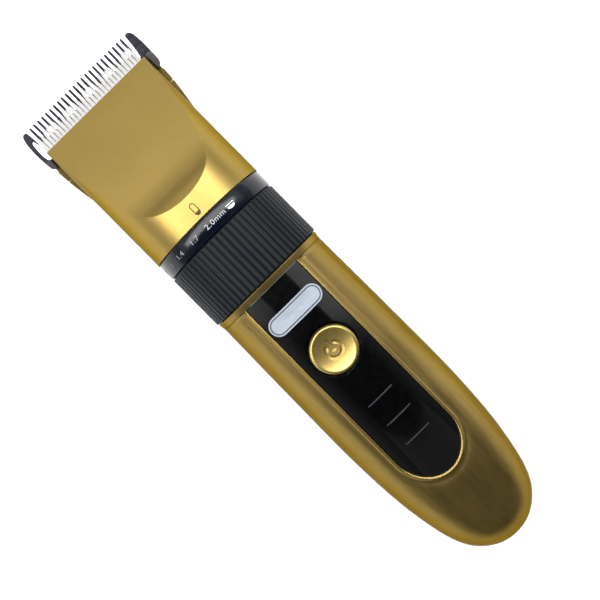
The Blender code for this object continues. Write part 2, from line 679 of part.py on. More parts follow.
def cutter_outline():
    """Ceramic cutter: a row of pointed teeth on a wide front and a narrower base."""
    outline = [(CUTTER_BASE_HALF, -14.2), (CUTTER_BASE_HALF, CUTTER_SHOULDER - 0.4),
               (CUTTER_BASE_HALF + 1.0, CUTTER_SHOULDER), (CUTTER_HALF_WIDTH, CUTTER_SHOULDER),
               (CUTTER_HALF_WIDTH, CUTTER_ROOT)]
    base = list(outline)
    first = (CUTTER_TEETH - 1) / 2 * CUTTER_PITCH
    for tooth in range(CUTTER_TEETH):
        x = first - tooth * CUTTER_PITCH
        outline += [(x + 0.42, CUTTER_ROOT), (x + 0.2, CUTTER_TIP), (x - 0.2, CUTTER_TIP),
                    (x - 0.42, CUTTER_ROOT)]
    return outline + [(-x, u) for x, u in reversed(base)]


def make_blade_head():
    plate = prism("fixed_blade", [fixed_blade_outline()], -PLATE_THICKNESS, 0.0, "blade_steel", BLADE)
    for label, side in (("left", -1.0), ("right", 1.0)):
        x = side * 13.0
        cut(plate, rod("plate_hole", (x, -16.3, -2.0), (x, -16.3, 1.0), 1.1, None, BLADE))
        front = -7.9 if side > 0 else -10.2
        edges = sorted((side * 19.8, side * 21.7))
        box("blade_cheek_" + label, (edges[0], -13.1, GAP), (edges[1], front, 2.0), "brown_plastic", BLADE)
        turned("blade_screw_" + label, [(0.0, 1.2), (1.4, 1.2), (1.7, 0.9), (1.7, GAP), (0.8, GAP),
                                        (0.8, -4.2), (0.0, -4.2)], "bright_steel", BLADE,
               location=(x, -16.3, 0.0), axis=ALONG_Z, steps=16)
    make_carrier()


def make_carrier():
    """The plastic wedge that holds the steel plate and swings on the hinge pin."""
    sections = []
    for station in (CARRIER_START, 160.0, 161.3, 162.6, 163.0, 163.4, 165.5, CARRIER_END):
        narrow = CORNER_WIDTH * ease(station, *CORNER_STATIONS)
        places = lower_section(station, narrow, blade_height(station))
        sections.append([(x, station, z) for x, z in places])
    carrier = loft("blade_carrier", sections, "gold_satin", AXIS)
    cut(carrier, prism("tilt_clearance", [CARRIER_REAR_FACE], -30.0, 30.0, None, AXIS, plane="YZ"))
    cut(carrier, box("plate_seat", (-18.8, -30.0, -PLATE_THICKNESS - GAP), (18.8, 4.0, 6.0), None, BLADE))
    cut(carrier, box("front_relief", (-24.0, -13.9, -PLATE_THICKNESS - 1.4 * GAP), (24.0, 4.0, 6.0), None, BLADE))
    for x in (-13.0, 13.0):
        cut(carrier, rod("carrier_hole", (x, -16.3, -4.6), (x, -16.3, 1.0), 1.1, None, BLADE))
        edges = sorted((x * 0.93, x * 1.14))
        cut(carrier, box("ear_room", (edges[0], 150.0, -13.0), (edges[1], 160.2, -5.9), None, AXIS))
    cut(carrier, bpy.data.objects["hinge_bore"])
    carrier.parent = BLADE_HINGE
    carrier.matrix_local = Matrix.Translation(-BLADE_HINGE.location)


def make_cutter():
    guide = [(-7.0, -17.9), (7.5, -17.9), (7.5, -22.0), (10.5, -22.0), (10.5, -14.6), (-7.0, -14.6)]
    prism("cutter_guide", [guide], GAP, 1.7, "bright_steel", BLADE)
    prism("ceramic_cutter", [[(x + CUTTER_X, u) for x, u in cutter_outline()]], CUTTER_LAYER[0],
          CUTTER_LAYER[1], "ceramic", BLADE)
    x = CUTTER_X
    follower = box("cutter_follower", (x - 6.0, -14.4, 2.15), (x + 6.0, -11.6, 3.4), "white_plastic", BLADE)
    arm = box("follower_arm", (x - 4.0, -21.1, 2.15), (x + 4.0, -12.6, 3.4), None, BLADE)
    post = box("follower_post", (x - 5.0, -21.8, 0.8), (x + 5.0, -20.6, 2.9), None, BLADE)
    bar = box("fork_bar", (x - 5.0, -23.8, 0.8), (x + 5.0, -20.9, 1.8), None, BLADE)
    join(follower, arm, post, bar)
    for side in (-1.0, 1.0):
        edges = sorted((x + side * 3.0, x + side * 5.0))
        join(follower, box("fork_prong", (edges[0], -23.8, 0.9), (edges[1], -20.9, 7.6), None, BLADE))
    half = [(13.0, -16.2, 1.9), (12.4, -14.4, 2.7), (10.6, -13.0, 3.3), (7.6, -11.8, 3.9)]
    wire("cutter_spring", [(-a, b, c) for a, b, c in half] + [(0.0, -11.4, 4.0)] + half[::-1], 0.35,
         "bright_steel", BLADE)


clear_scene()
parts = new_collection("beard_trimmer")
cutters = new_collection("cutters")
AXIS = empty("trimmer_axis", (0.0, -CENTRE_STATION, AXIS_HEIGHT))
BLADE_HINGE = empty("blade_hinge", (0.0, HINGE_STATION, HINGE_HEIGHT), parent=AXIS)
BLADE = empty("blade_plane", (0.0, BLADE_TIP_STATION - HINGE_STATION, BLADE_TIP_HEIGHT - HINGE_HEIGHT),
              tilt=BLADE_TILT, parent=BLADE_HINGE)
make_handle()
make_panel()
make_button()
make_electronics()
make_neck()
make_ring()
make_motor()
make_head()
make_adjuster()
make_blade_head()
make_cutter()
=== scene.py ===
"""Looks of the beard trimmer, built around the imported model.

Positions are worked out in the trimmer's own terms, in millimetres: x across, station along the axis
from the handle's end, height above the axis. at() turns them into world metres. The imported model's own
boxes fix where that axis lies.
"""

import math

import bmesh
import bpy
from mathutils import Matrix, Vector


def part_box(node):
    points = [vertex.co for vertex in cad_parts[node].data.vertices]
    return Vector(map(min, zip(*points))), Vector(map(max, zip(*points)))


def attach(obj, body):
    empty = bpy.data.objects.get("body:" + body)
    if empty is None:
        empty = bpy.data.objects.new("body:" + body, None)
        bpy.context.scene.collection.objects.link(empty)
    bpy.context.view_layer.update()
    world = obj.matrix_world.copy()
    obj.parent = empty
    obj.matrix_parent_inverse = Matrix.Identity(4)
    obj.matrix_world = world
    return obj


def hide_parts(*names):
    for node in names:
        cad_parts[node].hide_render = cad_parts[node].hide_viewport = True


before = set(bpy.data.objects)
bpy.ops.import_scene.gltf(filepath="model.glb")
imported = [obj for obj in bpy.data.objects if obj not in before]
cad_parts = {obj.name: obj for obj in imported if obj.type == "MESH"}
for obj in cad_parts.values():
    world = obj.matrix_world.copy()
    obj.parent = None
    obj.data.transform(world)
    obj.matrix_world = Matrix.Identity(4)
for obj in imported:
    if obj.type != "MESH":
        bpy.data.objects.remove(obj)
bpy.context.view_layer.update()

MM = 0.001
WELD_DISTANCE = 0.000004

# The trimmer's axis, from the imported ring
ring_low, ring_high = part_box("length_ring")
AXIS_Z = (ring_low.z + ring_high.z) / 2
RING_LOW = 99.15
RIB_COUNT = 66
ORIGIN_Y = ring_low.y - RING_LOW * MM

# Handle
HANDLE_CURVE = [(0.0, 0.0), (1.5, 6.55), (5.7, 11.6), (11.3, 14.55), (19.6, 16.55), (30.8, 18.05),
                (47.6, 18.85), (72.0, 18.75), (97.1, 18.45)]
HANDLE_START = 0.5
HANDLE_END = 97.1
CENTRE_X = -0.35
PANEL_HALF_WIDTH = 9.75
PANEL_LOW = 29.9
PANEL_DEPTH = 0.32
PANEL_WALL = 1.1
PANEL_GAP = 0.05
PANEL_LINES = (56.6, 49.7, 42.7)
BEAD_RADIUS = 0.16
BADGE_STATION = 88.0
BUTTON_STATION = 73.7
WELL_RADIUS = 7.25
SHELL_WALL = 1.5
SEAM_ANGLE = math.pi / 2 - 0.008  # from straight up to just short of the side seam
PAD_STATION = 64.0
PAD_HALF_LENGTH = 23.5
PAD_HALF_WIDTH = 6.5
SCREW_WELL_RADIUS = 2.25

# Head
HEAD_START = 122.5
HEAD_END = 166.9
HEAD_RADIUS = 19.25
LIP_HEIGHT = 2.9
FACET_SLOPE = 0.36
SCOOP_START = 138.5
SCOOP_CURVATURE = 0.02
FOOT_START = 134.0
FOOT_CURVATURE = 0.041
SEAM_STATION = 158.36
HEAD_FLARE = 1.9
REAR_WALL = 1.6
EAR_SIDES = (12.65, 14.35)
INDEX_STATION = 125.2
REAR_CURVE = [(122.5, 19.2), (132.0, 19.0), (138.0, 17.85), (146.0, 14.95), (152.0, 12.75),
              (157.4, 10.85), (162.6, 8.55), (168.0, 4.6)]

# Blade set
BLADE_TILT = math.radians(15.0)
BLADE_TIP_STATION = 175.75
BLADE_TIP_HEIGHT = 0.6


def at(x, station, height):
    """World position of a place given in the trimmer's own terms."""
    return Vector((x * MM, ORIGIN_Y + station * MM, AXIS_Z + height * MM))


def at_blade(x, u, w):
    """World position of a place on the blade: u towards the tips, w off the steel plate's face."""
    cosine, sine = math.cos(BLADE_TILT), math.sin(BLADE_TILT)
    return at(x, BLADE_TIP_STATION + u * cosine - w * sine, BLADE_TIP_HEIGHT + u * sine + w * cosine)


def ease(value, low, high):
    """0 below low, 1 above high, and a smooth rise between them."""
    share = min(max((value - low) / (high - low), 0.0), 1.0)
    return share * share * (3.0 - 2.0 * share)


def smooth_line(points, steps):
    """Points on a Catmull-Rom curve through the given points."""
    places = [Vector(point) for point in points]
    ends = [places[0] * 2 - places[1]] + places + [places[-1] * 2 - places[-2]]
    line = []
    for i in range(1, len(ends) - 2):
        before, here, after, beyond = ends[i - 1:i + 3]
        for step in range(steps):
            t = step / steps
            bend = 2 * before - 5 * here + 4 * after - beyond
            twist = 3 * here - before - 3 * after + beyond
            line.append(here + 0.5 * (t * (after - before) + t * t * bend + t ** 3 * twist))
    return line + [places[-1]]


def table(points):
    """A function that reads a smooth curve through (station, value) points."""
    line = smooth_line([(a, b) for a, b in points], 12)

    def read(station):
        station = max(station, 0.0)
        for low, high in zip(line, line[1:]):
            if station <= high.x:
                share = (station - low.x) / max(high.x - low.x, 1e-6)
                return low.y + (high.y - low.y) * share
        return line[-1].y
    return read


handle_radius = table(HANDLE_CURVE)
rear_depth = table(REAR_CURVE)


# ---------------------------------------------------------------- mesh helpers

def mesh_object(name, bm, material, body, node=None, smooth_angle=35.0):
    """Make a piece from a bmesh, shade it, and tell the frame what it rides on and replaces."""
    bmesh.ops.recalc_face_normals(bm, faces=bm.faces)
    mesh = bpy.data.meshes.new(name)
    bm.to_mesh(mesh)
    bm.free()
    piece = bpy.data.objects.new(name, mesh)
    bpy.context.scene.collection.objects.link(piece)
    mesh.materials.append(material)
    mesh.shade_smooth()
    mesh.set_sharp_from_angle(angle=math.radians(smooth_angle))
    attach(piece, body)
    for replaced in ([node] if isinstance(node, str) else node or []):
        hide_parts(replaced)
    return piece


def grid(bm, rows, close_rows=False, close_columns=False):
    """Faces over a grid of points, joined around each row or from the last row to the first if asked."""
    rings = [[bm.verts.new(point) for point in row] for row in rows]
    count = len(rings[0])
    pairs = list(zip(rings, rings[1:]))
    if close_columns:
        pairs.append((rings[-1], rings[0]))
    for near, far in pairs:
        for i in range(count if close_rows else count - 1):
            j = (i + 1) % count
            bm.faces.new((near[i], near[j], far[j], far[i]))
    return rings


def close_ends(bm, rings):
    """Close both ends of a walled shell; each ring runs along its outside and back along its inside."""
    for ring in (rings[0], rings[-1]):
        half = len(ring) // 2
        for i in range(half - 1):
            bm.faces.new((ring[i], ring[i + 1], ring[-i - 2], ring[-i - 1]))


def prism(bm, near, far):
    """A closed solid between two outlines that have the same number of points."""
    near = [bm.verts.new(point) for point in near]
    far = [bm.verts.new(point) for point in far]
    bm.faces.new(near)
    bm.faces.new(far[::-1])
    for i in range(len(near)):
        j = (i + 1) % len(near)
        bm.faces.new((near[i], far[i], far[j], near[j]))


def block(size, centre, lean=0.0):
    """A box of a size in millimetres round a world position, leaning about the X axis."""
    bm = bmesh.new()
    bmesh.ops.create_cube(bm, size=1.0)
    bmesh.ops.scale(bm, vec=Vector(size) * MM, verts=bm.verts)
    bmesh.ops.rotate(bm, cent=(0, 0, 0), matrix=Matrix.Rotation(lean, 3, "X"), verts=bm.verts)
    bmesh.ops.translate(bm, vec=centre, verts=bm.verts)
    return bm


def drum(radius, depth, centre, segments):
    """An upright cylinder, sized in millimetres, round a world position."""
    bm = bmesh.new()
    bmesh.ops.create_cone(bm, cap_ends=True, segments=segments, radius1=radius * MM, radius2=radius * MM,
                          depth=depth * MM)
    bmesh.ops.translate(bm, vec=centre, verts=bm.verts)
    return bm


def weld(bm):
    bmesh.ops.remove_doubles(bm, verts=bm.verts, dist=WELD_DISTANCE)
    bmesh.ops.dissolve_degenerate(bm, edges=bm.edges, dist=WELD_DISTANCE)


def thicken(piece, thickness):
    """Solid walls on the inner side of an open surface."""
    solidify = piece.modifiers.new("wall", "SOLIDIFY")
    solidify.thickness = thickness * MM
    solidify.offset = -1.0
    solidify.use_even_offset = True


def round_edges(piece, width, angle=30.0, segments=3):
    bevel = piece.modifiers.new("edges", "BEVEL")
    bevel.width = width * MM
    bevel.segments = segments
    bevel.limit_method = "ANGLE"
    bevel.angle_limit = math.radians(angle)


def evaluated_mesh(piece):
    """A new mesh of what an object's curve or modifiers make."""
    bpy.context.view_layer.update()
    depsgraph = bpy.context.evaluated_depsgraph_get()
    return bpy.data.meshes.new_from_object(piece.evaluated_get(depsgraph), depsgraph=depsgraph)


def curve_mesh(curve):
    """A bmesh of a curve or text; the curve's object is removed again."""
    source = bpy.data.objects.new("curve_source", curve)
    bpy.context.scene.collection.objects.link(source)
    mesh = evaluated_mesh(source)
    bpy.data.objects.remove(source, do_unlink=True)
    bm = bmesh.new()
    bm.from_mesh(mesh)
    bpy.data.meshes.remove(mesh)
    return bm


def subtract(piece, name, bm):
    """Cut a shape out of a piece and leave only the result."""
    bmesh.ops.recalc_face_normals(bm, faces=bm.faces)
    mesh = bpy.data.meshes.new(name)
    bm.to_mesh(mesh)
    bm.free()
    cutter = bpy.data.objects.new(name, mesh)
    bpy.context.scene.collection.objects.link(cutter)
    modifier = piece.modifiers.new(name, "BOOLEAN")
    modifier.operation = "DIFFERENCE"
    modifier.object = cutter
    modifier.solver = "EXACT"
    result = evaluated_mesh(piece)
    old = piece.data
    piece.modifiers.clear()
    piece.data = result
    bpy.data.meshes.remove(old)
    bpy.data.objects.remove(cutter, do_unlink=True)


def turned(name, profile, material, body, node, steps=128):
    """A piece turned about the trimmer's axis, from a closed profile of (radius, station) points."""
    bm = bmesh.new()
    rows = []
    for i in range(steps):
        angle = math.radians(360.0 * i / steps)
        rows.append([at(radius * math.sin(angle), station, radius * math.cos(angle))
                     for radius, station in profile])
    grid(bm, rows, close_rows=True, close_columns=True)
    weld(bm)
    mesh_object(name, bm, material, body, node)


# ---------------------------------------------------------------- materials

def surface(name, dark, light, rough, metallic=0.0, patch=60.0, grain=2500.0, streak=(1.0, 1.0, 1.0),
            bump=0.05, coat=0.0, specular=0.5, edge=(1.0, 1.0, 1.0)):
    """A finish with colour drifting between two tones, uneven roughness and a fine grain in relief."""
    made = bpy.data.materials.new(name)
    made.use_nodes = True
    nodes, links = made.node_tree.nodes, made.node_tree.links
    shader = nodes["Principled BSDF"]
    shader.inputs["Metallic"].default_value = metallic
    shader.inputs["Coat Weight"].default_value = coat
    shader.inputs["Coat Roughness"].default_value = 0.1
    shader.inputs["Specular IOR Level"].default_value = specular
    shader.inputs["Specular Tint"].default_value = (*edge, 1.0)
    place = nodes.new("ShaderNodeTexCoord")
    stretch = nodes.new("ShaderNodeMapping")
    stretch.inputs["Scale"].default_value = streak
    links.new(place.outputs["Object"], stretch.inputs["Vector"])
    patches = nodes.new("ShaderNodeTexNoise")
    patches.inputs["Scale"].default_value = patch
    patches.inputs["Detail"].default_value = 4.0
    links.new(place.outputs["Object"], patches.inputs["Vector"])
    fine = nodes.new("ShaderNodeTexNoise")
    fine.inputs["Scale"].default_value = grain
    fine.inputs["Detail"].default_value = 3.0
    links.new(stretch.outputs["Vector"], fine.inputs["Vector"])
    blend = nodes.new("ShaderNodeMix")
    blend.data_type = "FLOAT"
    blend.inputs["Factor"].default_value = 0.5
    links.new(patches.outputs["Fac"], blend.inputs["A"])
    links.new(fine.outputs["Fac"], blend.inputs["B"])
    tones = nodes.new("ShaderNodeValToRGB")
    tones.color_ramp.elements[0].position = 0.32
    tones.color_ramp.elements[0].color = (*dark, 1.0)
    tones.color_ramp.elements[1].position = 0.68
    tones.color_ramp.elements[1].color = (*light, 1.0)
    links.new(blend.outputs["Result"], tones.inputs["Fac"])
    links.new(tones.outputs["Color"], shader.inputs["Base Color"])
    spread = nodes.new("ShaderNodeMapRange")
    spread.inputs["From Min"].default_value = 0.3
    spread.inputs["From Max"].default_value = 0.7
    spread.inputs["To Min"].default_value = rough[0]
    spread.inputs["To Max"].default_value = rough[1]
    links.new(blend.outputs["Result"], spread.inputs["Value"])
    links.new(spread.outputs["Result"], shader.inputs["Roughness"])
    relief = nodes.new("ShaderNodeBump")
    relief.inputs["Strength"].default_value = bump
    relief.inputs["Distance"].default_value = 0.0001
    links.new(fine.outputs["Fac"], relief.inputs["Height"])
    links.new(relief.outputs["Normal"], shader.inputs["Normal"])
    return made


GOLD_EDGE = (0.42, 0.37, 0.30)
gold = surface("gold_satin", (0.182, 0.127, 0.040), (0.242, 0.170, 0.054), (0.30, 0.38), metallic=1.0,
               grain=900.0, streak=(1.0, 0.06, 1.0), bump=0.12, edge=GOLD_EDGE)
# The head's gold is a paler copy of the satin gold: painted highlight on the head's front shell.
gold_head_paler_painted_highlight = surface("gold_head_paler_painted_highlight", (0.242, 0.170, 0.049), (0.272, 0.192, 0.057), (0.32, 0.38), metallic=1.0,
                    grain=1600.0, bump=0.10, edge=GOLD_EDGE)
gold_dark = surface("gold_rear", (0.20, 0.142, 0.042), (0.245, 0.175, 0.054), (0.34, 0.42), metallic=1.0,
                    grain=1200.0, bump=0.12, edge=GOLD_EDGE)
# A still paler gold with the satin gold's roughness: painted highlight on the panel's bead and the button
# cap.
gold_paler_painted_highlight = surface("gold_pale_painted_highlight", (0.335, 0.244, 0.074), (0.385, 0.282, 0.090), (0.30, 0.38),
                      metallic=1.0, grain=1800.0, bump=0.10)
panel_black = surface("panel_black", (0.0006, 0.0006, 0.0008), (0.0014, 0.0014, 0.0016), (0.08, 0.14),
                      patch=90.0, grain=500.0, bump=0.02, specular=0.38)
band_black = surface("band_black", (0.0012, 0.002, 0.0045), (0.0024, 0.004, 0.008), (0.12, 0.2),
                     grain=1500.0, bump=0.04, specular=0.2)
ring_black = surface("ring_black", (0.003, 0.004, 0.006), (0.006, 0.008, 0.010), (0.38, 0.5),
                     grain=4000.0, bump=0.16, specular=0.11)
badge_silver = surface("badge_silver", (0.195, 0.225, 0.262), (0.23, 0.262, 0.30), (0.3, 0.4), metallic=0.2,
                       grain=1200.0, streak=(0.08, 1.0, 1.0), bump=0.05)
badge_ink = surface("badge_ink", (0.012, 0.016, 0.025), (0.03, 0.035, 0.05), (0.3, 0.4), grain=2000.0)
steel_dark = surface("steel_dark", (0.045, 0.045, 0.060), (0.085, 0.085, 0.105), (0.26, 0.42), metallic=1.0,
                     grain=1500.0, streak=(0.08, 1.0, 1.0), bump=0.10)
ceramic = surface("ceramic_white", (0.30, 0.295, 0.285), (0.33, 0.325, 0.315), (0.35, 0.45), grain=3500.0,
                  bump=0.05, specular=0.3)
brown = surface("brown_plastic", (0.022, 0.017, 0.015), (0.036, 0.029, 0.026), (0.4, 0.55), grain=2500.0,
                bump=0.12)
print_white = surface("printed_white", (0.60, 0.61, 0.62), (0.72, 0.73, 0.74), (0.5, 0.6), grain=5000.0)
print_grey = surface("printed_grey", (0.27, 0.275, 0.29), (0.34, 0.345, 0.36), (0.5, 0.6), grain=5000.0)
# Darker copies of the grey ink: painted shade for digits further round the band.
print_grey_painted_shade = surface("printed_grey_painted_shade", (0.16, 0.16, 0.175), (0.21, 0.21, 0.225), (0.5, 0.6), grain=5000.0)
print_grey_painted_deep_shade = surface("printed_grey_painted_deep_shade", (0.08, 0.08, 0.09), (0.11, 0.11, 0.12), (0.5, 0.6), grain=5000.0)
line_grey = surface("line_grey", (0.012, 0.012, 0.013), (0.020, 0.020, 0.022), (0.4, 0.5), grain=3000.0,
                    specular=0.2)
# Dark brown for the index mark: painted shade and shadow of a small recess in the head.
index_painted_shade = surface("index_painted_shade", (0.035, 0.024, 0.006), (0.06, 0.042, 0.012), (0.5, 0.6), grain=2500.0,
                    specular=0.15)
nickel = surface("nickel", (0.50, 0.50, 0.52), (0.62, 0.62, 0.64), (0.22, 0.34), metallic=1.0,
                 grain=1500.0, bump=0.06)
acetal = surface("white_acetal", (0.66, 0.65, 0.61), (0.78, 0.77, 0.73), (0.4, 0.5), grain=2500.0)
moulded = surface("black_moulded", (0.018, 0.018, 0.019), (0.035, 0.035, 0.037), (0.45, 0.6), grain=2500.0,
                  bump=0.12)
brass = surface("brass", (0.55, 0.38, 0.15), (0.66, 0.48, 0.21), (0.2, 0.32), metallic=1.0, grain=1500.0)
board = surface("board_green", (0.015, 0.09, 0.035), (0.03, 0.15, 0.06), (0.3, 0.45), grain=1200.0)
amber = surface("amber_lens", (0.7, 0.26, 0.03), (0.85, 0.4, 0.08), (0.1, 0.2), grain=1500.0, coat=0.5)
sleeve = surface("cell_sleeve", (0.03, 0.09, 0.25), (0.06, 0.15, 0.36), (0.25, 0.38), grain=900.0)
red_vinyl = surface("red_vinyl", (0.40, 0.012, 0.012), (0.52, 0.03, 0.03), (0.35, 0.5), grain=2000.0)
black_vinyl = surface("black_vinyl", (0.010, 0.010, 0.010), (0.022, 0.022, 0.022), (0.35, 0.5), grain=2000.0)


# ---------------------------------------------------------------- handle

PANEL_STRAIGHT_END = PANEL_LOW + PANEL_HALF_WIDTH
# Rows away from the panel opening: distance, and height of the surface there off the plain handle
LIP_ROWS = [(0.0, -1.3), (0.0, -0.25), (0.12, 0.0), (0.3, 0.1), (0.5, 0.1), (0.75, -0.02), (1.1, -0.12),
            (1.6, -0.14), (2.2, -0.08), (3.0, 0.0)]


def handle_point(station, angle, lift=0.0):
    """A place on the handle's skin; the angle is from straight up, towards +X."""
    radius = max(handle_radius(station) + lift, 0.0)
    return at(radius * math.sin(angle), station, radius * math.cos(angle))


def opening_path():
    """Places on the opening's left edge: x, station, and where the column from there ends.

    A column ends at a station on the side seam or, for the middle columns, round the socket's mouth,
    where the last number is its share of the way from straight up to the seam.
    """
    straight, bend = 46, 40
    path = []
    for i in range(straight):
        station = HANDLE_END - (HANDLE_END - PANEL_STRAIGHT_END) * i / straight
        path.append((-PANEL_HALF_WIDTH, station, station, 1.0))
    for i in range(bend + 1):
        turn = math.pi / 2 * i / bend
        across = -PANEL_HALF_WIDTH * math.cos(turn)
        station = PANEL_STRAIGHT_END - PANEL_HALF_WIDTH * math.sin(turn)
        part = 2.0 * i / bend
        seam = HANDLE_START + (PANEL_STRAIGHT_END - HANDLE_START) * max(1.0 - part, 0.0)
        path.append((across, station, seam, min(2.0 - part, 1.0)))
    return path


def make_handle_front():
    """The front half: columns of points run from the panel's opening, over its rim, to the side seam."""
    bm = bmesh.new()
    left = opening_path()
    columns = [(x, station, seam, -spread) for x, station, seam, spread in left]
    columns += [(-x, station, seam, spread) for x, station, seam, spread in left[-2::-1]]
    rows = []
    extra = 30
    for x, station, seam, spread in columns:
        here = math.asin((x + CENTRE_X) / handle_radius(station))
        edge = spread * SEAM_ANGLE
        reach = math.hypot((edge - here) * handle_radius(station), station - seam)
        row = []
        for distance, lift in LIP_ROWS:
            share = distance / reach
            # Round the panel's closed end the rim swells and dips more
            low_end = ease(PANEL_STRAIGHT_END + 6.0 - station, 0.0, 14.0)
            depth = lift * (1.0 + 0.9 * low_end) if distance > 0.6 else lift
            row.append(handle_point(station + (seam - station) * share, here + (edge - here) * share, depth))
        start = LIP_ROWS[-1][0] / reach
        for i in range(1, extra + 1):
            share = 1.0 - (1.0 - start) * (1.0 - i / extra) ** 1.7
            row.append(handle_point(station + (seam - station) * share, here + (edge - here) * share))
        rows.append(row)
    grid(bm, rows)
    weld(bm)
    piece = mesh_object("handle_front", bm, gold, "casing", "handle_front_shell")
    thicken(piece, SHELL_WALL)


def make_handle_rear():
    """The rear half, with its flat rest pad and three screw wells."""
    bm = bmesh.new()
    pad_floor = (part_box("handle_rear_shell")[0].z - AXIS_Z) / MM
    stations = [HANDLE_START + (HANDLE_END - HANDLE_START) * (i / 150) ** 1.35 for i in range(151)]
    rows = []
    for station in stations:
        radius = handle_radius(station)
        row = []
        for i in range(97):
            share = i / 48 - 1.0
            x = radius * math.sin(share * SEAM_ANGLE)
            height = -math.sqrt(max(radius * radius - x * x, 0.0))
            distance = math.hypot(x, max(abs(station - PAD_STATION) - PAD_HALF_LENGTH, 0.0)) - PAD_HALF_WIDTH
            raised = 1.0 - ease(distance, -0.5, 0.9)
            row.append(at(x, station, height + (pad_floor - height) * raised))
        rows.append(row)
    grid(bm, rows)
    weld(bm)
    piece = mesh_object("handle_rear", bm, gold, "casing", "handle_rear_shell")
    thicken(piece, SHELL_WALL)
    for name, node in (("well_lower", "case_screw_lower"), ("well_left", "case_screw_left"),
                       ("well_right", "case_screw_right")):
        low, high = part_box(node)
        centre = ((low.x + high.x) / 2, (low.y + high.y) / 2, low.z - 3.3 * MM)
        subtract(piece, name, drum(SCREW_WELL_RADIUS, 10.0, centre, 48))


make_handle_front()
make_handle_rear()


# ---------------------------------------------------------------- panel, badge and button

def skin_piece(name, outline, low, high, material, body, node=None, radius=None, rings=1):
    """A thin piece that follows a round skin: an outline in (x, station), between two lifts off the skin."""
    bm = bmesh.new()
    count = len(outline)
    middle_x = sum(x for x, _ in outline) / count
    middle_s = sum(s for _, s in outline) / count

    def lifted(x, station, lift):
        reach = (radius or handle_radius(station)) + lift
        return at(x, station, math.sqrt(max(reach * reach - x * x, 0.0)))

    def shrunk(share, lift):
        return [lifted(middle_x + (x - middle_x) * share, middle_s + (s - middle_s) * share, lift)
                for x, s in outline]
    rows = [shrunk(ring / rings, high) for ring in range(rings + 1)]
    rows += [shrunk(1.0 - ring / rings, low) for ring in range(rings + 1)]
    grid(bm, rows, close_rows=True)
    weld(bm)
    mesh_object(name, bm, material, body, node)


def arc(centre, radius, start, end, steps):
    """Points on an arc; the angles are in degrees, turning from the first coordinate to the second."""
    points = []
    for i in range(steps + 1):
        angle = math.radians(start + (end - start) * i / steps)
        points.append((centre[0] + radius * math.cos(angle), centre[1] + radius * math.sin(angle)))
    return points


def pill(centre, length, width, steps=24):
    """A pill-shaped outline lying across the trimmer, with points along its straight sides too."""
    half, radius = (length - width) / 2, width / 2
    outline = arc((centre[0] + half, centre[1]), radius, -90.0, 90.0, steps)
    outline += [(centre[0] + half - 2 * half * i / 16, centre[1] + radius) for i in range(1, 16)]
    outline += arc((centre[0] - half, centre[1]), radius, 90.0, 270.0, steps)
    outline += [(centre[0] - half + 2 * half * i / 16, centre[1] - radius) for i in range(1, 16)]
    return outline


def make_panel():
    """The gloss panel: rows across it at each station, narrower round its lower end."""
    bm = bmesh.new()
    top = (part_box("front_panel")[1].y - ORIGIN_Y) / MM
    half = PANEL_HALF_WIDTH - PANEL_GAP
    low = PANEL_LOW + PANEL_GAP
    rows = []
    for i in range(41):
        turn = math.pi / 2 * i / 40
        rows.append((half * math.sin(turn) if i else 0.02, low + half * (1.0 - math.cos(turn))))
    rows += [(half, low + half + (top - low - half) * i / 60) for i in range(1, 60)]
    rows += [(half, top - 0.1), (half, top + 0.1)]
    points = []
    for width, station in rows:
        row = []
        radius = handle_radius(station) - PANEL_DEPTH
        for i in range(33):
            x = CENTRE_X + width * math.sin(math.pi / 2 * (i / 16 - 1.0))
            row.append(at(x, station, math.sqrt(radius * radius - x * x)))
        points.append(row)
    grid(bm, points)
    weld(bm)
    piece = mesh_object("front_panel_gloss", bm, panel_black, "casing", "front_panel")
    thicken(piece, PANEL_WALL)
    subtract(piece, "button_well", drum(WELL_RADIUS, 14.0, at(CENTRE_X, BUTTON_STATION, 17.0), 128))
    round_edges(piece, 0.05, 40.0)
    for i, station in enumerate(PANEL_LINES):
        outline = pill((CENTRE_X, station), 8.5, 0.4, 6)
        skin_piece("panel_line_%d" % (i + 1), outline, -0.6, -0.27, line_grey, "casing",
                   rings=2)


def make_badge():
    """A plain silver pill with a dark outline inside its rim."""
    centre = (CENTRE_X, BADGE_STATION)
    skin_piece("badge_rim", pill(centre, 17.7, 5.5), -0.6, 0.10, badge_silver, "casing", "badge_plate",
               rings=4)
    skin_piece("badge_outline", pill(centre, 16.9, 4.7), 0.0, 0.13, badge_ink, "casing",
               rings=4)
    skin_piece("badge_face", pill(centre, 16.2, 4.0), 0.05, 0.19, badge_silver, "casing",
               rings=4)


BUTTON_RIM = 19.3
BUTTON_RADIUS = 6.6
DISH_RADIUS = 5.7
DISH_DEPTH = 0.6
MARK_DEPTH = 0.25


def power_mark(x, y):
    """How far a place on the button lies inside its power mark: above zero inside, in millimetres."""
    stroke = 0.38
    radius = 2.15
    gap = 40.0
    angle = math.degrees(math.atan2(x, y))
    if abs(angle) > gap:
        ring = stroke - abs(math.hypot(x, y) - radius)
    else:
        side = math.radians(gap)
        ring = stroke - math.hypot(abs(x) - radius * math.sin(side), y - radius * math.cos(side))
    bar = stroke - math.hypot(x, y - min(max(y, 0.1), 2.8))
    return max(ring, bar)


def button_height(radius, angle):
    """Height of the button's dished face below its rim."""
    x, y = radius * math.sin(angle), radius * math.cos(angle)
    mark = -MARK_DEPTH * ease(power_mark(x, y), -0.14, 0.12)
    if radius < DISH_RADIUS:
        return -DISH_DEPTH * (1.0 - (radius / DISH_RADIUS) ** 2.4) + mark
    return mark - 0.9 * max((radius - 6.0) / 0.65, 0.0) ** 2


